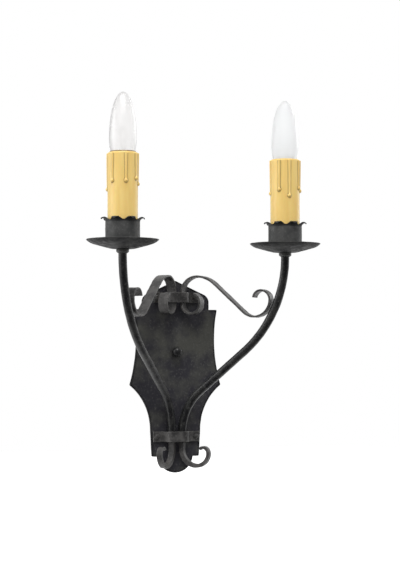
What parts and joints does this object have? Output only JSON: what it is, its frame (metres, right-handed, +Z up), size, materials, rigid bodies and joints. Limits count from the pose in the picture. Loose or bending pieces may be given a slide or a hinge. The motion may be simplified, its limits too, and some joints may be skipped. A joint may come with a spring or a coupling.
{
  "type": "candle wall light",
  "caption": "Black wrought-iron wall light: shaped backplate, bent pipe arms with scrolls, drip pans, wax-drip candle sleeves and torpedo bulbs on screw sockets.",
  "frame": {"origin": "on the wall plane, on the axis of the hanging stud, midway between the box screw slots", "axes": "+X to the viewer's right, +Y into the wall, +Z up"},
  "size_m": [0.2812, 0.1582, 0.4343],
  "materials": {
    "black_iron": "hammered satin black",
    "zinc_steel": "zinc plated",
    "green_screw": "green",
    "black_nylon": "matte",
    "black_phenolic": "moulded",
    "brass": "bright",
    "bulb_brass": "bright",
    "black_glass": "fused",
    "solder": "dull",
    "clear_glass": "clear",
    "frosted_glass": "frosted white",
    "tungsten": "drawn wire",
    "black_lead": "matte",
    "white_lead": "matte",
    "candle_wax": "waxy, antiqued drips"
  },
  "bodies": {
    "frame": {"backplate": "black_iron", "wiring_pan": "black_iron", "crossbar": "zinc_steel", "mounting_stud": "zinc_steel", "stud_locknut": "zinc_steel", "ground_screw": "green_screw", "lower_strap": "black_iron", "lower_strap_rivets": "black_iron", "upper_strap": "black_iron", "upper_strap_rivets": "black_iron", "lead_bushings": "black_nylon", "left_arm": "black_iron", "left_tail_scroll": "black_iron", "left_ribbon_scroll": "black_iron", "left_check_ring": "black_iron", "left_drip_pan": "black_iron", "left_candle_cup": "black_iron", "left_locknut": "zinc_steel", "left_socket_bracket": "zinc_steel", "left_socket_body": "black_phenolic", "left_screw_shell": "brass", "left_center_contact": "brass", "left_hot_lead": "black_lead", "left_neutral_lead": "white_lead", "right_arm": "black_iron", "right_tail_scroll": "black_iron", "right_ribbon_scroll": "black_iron", "right_check_ring": "black_iron", "right_drip_pan": "black_iron", "right_candle_cup": "black_iron", "right_locknut": "zinc_steel", "right_socket_bracket": "zinc_steel", "right_socket_body": "black_phenolic", "right_screw_shell": "brass", "right_center_contact": "brass", "right_hot_lead": "black_lead", "right_neutral_lead": "white_lead"},
    "cap_nut": {"cap_nut": "black_iron"},
    "left_sleeve": {"left_candle_sleeve": "candle_wax"},
    "left_bulb": {"left_bulb_glass": "clear_glass", "left_bulb_base": "bulb_brass", "left_bulb_insulator": "black_glass", "left_bulb_contact": "solder", "left_bulb_stem": "clear_glass", "left_filament": "tungsten"},
    "right_sleeve": {"right_candle_sleeve": "candle_wax"},
    "right_bulb": {"right_bulb_glass": "frosted_glass", "right_bulb_base": "bulb_brass", "right_bulb_insulator": "black_glass", "right_bulb_contact": "solder", "right_bulb_stem": "clear_glass", "right_filament": "tungsten"}
  },
  "joints": [
    {"name": "cap_nut_turn", "type": "hinge", "parent": "frame", "child": "cap_nut", "pos_m": [0, -0.0225, 0], "axis": [0, -1, 0], "continuous": true},
    {"name": "left_sleeve_turn", "type": "hinge", "parent": "frame", "child": "left_sleeve", "pos_m": [-0.09908, -0.11673, 0.2], "axis": [0, 0, 1], "continuous": true},
    {"name": "left_bulb_pull", "type": "slide", "parent": "frame", "child": "left_bulb", "axis": [0, 0, 1], "range_m": [0, 0.04]},
    {"name": "right_sleeve_turn", "type": "hinge", "parent": "frame", "child": "right_sleeve", "pos_m": [0.09908, -0.11673, 0.2], "axis": [0, 0, 1], "continuous": true},
    {"name": "right_bulb_pull", "type": "slide", "parent": "frame", "child": "right_bulb", "axis": [0, 0, 1], "range_m": [0, 0.04]}
  ]
}
